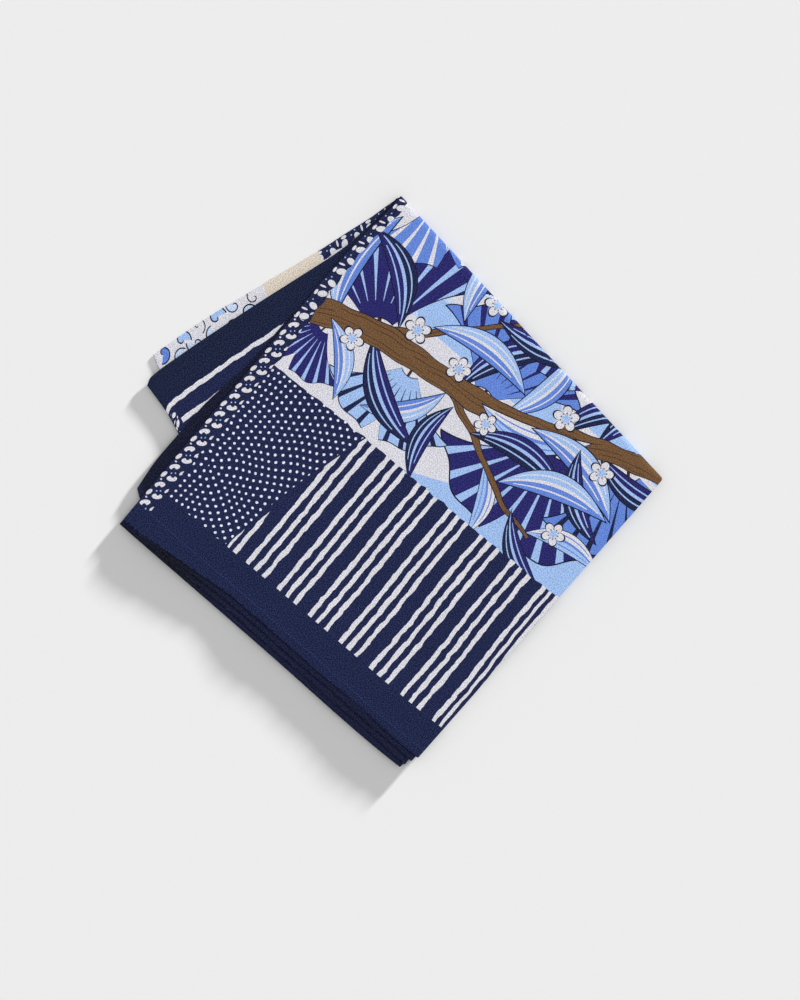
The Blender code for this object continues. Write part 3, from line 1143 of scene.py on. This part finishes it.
def printed_cotton():
    """Printed plain-weave cotton: its print, painted shade on its hems, paler wrong side, weave and
    slubs.
    """
    material = bpy.data.materials.new("printed_cotton")
    material.use_nodes = True
    tree = material.node_tree
    shader = tree.nodes["Principled BSDF"]
    feed(shader.inputs["Roughness"], ROUGHNESS)
    feed(shader.inputs["Specular IOR Level"], SPECULAR)
    feed(shader.inputs["Sheen Weight"], SHEEN)
    feed(shader.inputs["Sheen Roughness"], SHEEN_ROUGHNESS)
    parts = tree.nodes.new("ShaderNodeSeparateXYZ")
    feed(parts.inputs[0], flat_place(tree))
    across, along = Term(tree, parts.outputs["X"]), Term(tree, parts.outputs["Y"])
    colour = borders(picture(across, along), across, along)
    side = tree.nodes.new("ShaderNodeAttribute")
    side.attribute_name = "wrong_side"
    colour = painted(colour, Term(tree, side.outputs["Fac"]) * WRONG_SIDE_PALER, PALE_BLUE)
    sand = noise(tree, SAND_SCALE, 1.0)
    slubs_along = noise(tree, SLUB_SCALE, 1.0, SLUB_STRETCH)
    slubs = (slubs_along + noise(tree, SLUB_SCALE, 1.0, SLUB_STRETCH[::-1])) * 0.5
    feed(shader.inputs["Base Color"], sanded(colour, sand, slubs))
    warp = (across * (math.pi * THREADS)).math("SINE").size()
    weft = (along * (math.pi * THREADS)).math("SINE").size()
    bump = tree.nodes.new("ShaderNodeBump")
    feed(bump.inputs["Strength"], WEAVE_STRENGTH)
    feed(bump.inputs["Distance"], WEAVE_DEPTH)
    feed(bump.inputs["Height"], (warp + weft) * THREAD_HEIGHT + (sand + slubs) * GRAIN_HEIGHT)
    feed(shader.inputs["Normal"], bump.outputs["Normal"])
    return material


# The studio's floor, world and lights, the last as (heading, elevation, spread, strength)
FLOOR_SIZE = 80.0
FLOOR_TONE = tone(236, 236, 236)
FLOOR_ROUGHNESS = 0.9
WORLD_STRENGTH = 0.58
LOW_KEY = (88.0, 7.6, 3.6, 9.3)
CLOTH_KEY = (84.0, 40.0, 12.0, 1.96)
ABOVE = (88.0, 68.0, 55.0, 0.10)


def plain(name, colour, roughness):
    """A plain material."""
    material = bpy.data.materials.new(name)
    material.use_nodes = True
    shader = material.node_tree.nodes["Principled BSDF"]
    shader.inputs["Base Color"].default_value = colour
    shader.inputs["Roughness"].default_value = roughness
    return material


def make_floor():
    """A plain pale floor."""
    half = 0.5 * FLOOR_SIZE
    data = bpy.data.meshes.new("floor")
    corners = [(-half, -half, 0.0), (half, -half, 0.0), (half, half, 0.0), (-half, half, 0.0)]
    data.from_pydata(corners, [], [(0, 1, 2, 3)])
    data.materials.append(plain("floor_paint", FLOOR_TONE, FLOOR_ROUGHNESS))
    floor = bpy.data.objects.new("floor", data)
    bpy.context.scene.collection.objects.link(floor)
    return floor


def distant_light(name, heading, elevation, spread, strength, lit=None):
    """A light from far off with a soft edge, which lights only one object where that is named."""
    data = bpy.data.lights.new(name, "SUN")
    data.angle = math.radians(spread)
    data.energy = strength
    light = bpy.data.objects.new(name, data)
    turn, rise = math.radians(heading), math.radians(elevation)
    level = math.cos(rise)
    light.location = (level * math.cos(turn), level * math.sin(turn), math.sin(rise))
    light.rotation_euler = light.location.to_track_quat("Z", "Y").to_euler()
    bpy.context.scene.collection.objects.link(light)
    if lit:
        receivers = bpy.data.collections.new(name + "_lights")
        receivers.objects.link(lit)
        light.light_linking.receiver_collection = receivers


def light_scene(floor, cloth):
    """Even light, a low key for the floor, a higher one for the cloth, and a faint one from above."""
    world = bpy.data.worlds.new("studio")
    world.use_nodes = True
    background = world.node_tree.nodes["Background"]
    background.inputs["Color"].default_value = (1.0, 1.0, 1.0, 1.0)
    background.inputs["Strength"].default_value = WORLD_STRENGTH
    bpy.context.scene.world = world
    distant_light("low_key", *LOW_KEY, lit=floor)
    distant_light("cloth_key", *CLOTH_KEY, lit=cloth)
    distant_light("above", *ABOVE)
    bpy.context.scene.view_settings.view_transform = "Standard"


# The camera looks straight down, turned so that the front hem runs down to the right
CAMERA_PLACE = (0.0327, -0.0090)
CAMERA_TURN = 41.0
CAMERA_HEIGHT = 2.0
CAMERA_SENSOR = 36.0
VIEW_HEIGHT = 0.671
CLOTH_TOP = 0.006


def make_camera():
    """A long lens straight above the cloth."""
    data = bpy.data.cameras.new("camera")
    data.sensor_width = CAMERA_SENSOR
    data.lens = CAMERA_SENSOR * CAMERA_HEIGHT / VIEW_HEIGHT
    camera = bpy.data.objects.new("camera", data)
    camera.location = (*CAMERA_PLACE, CAMERA_HEIGHT + CLOTH_TOP)
    camera.rotation_euler = (0.0, 0.0, math.radians(CAMERA_TURN))
    bpy.context.scene.collection.objects.link(camera)
    bpy.context.scene.camera = camera


floor = make_floor()
cloth = make_cloth()
cloth.data.materials.append(printed_cotton())
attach(cloth, "root")
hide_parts(NODE)
light_scene(floor, cloth)
make_camera()
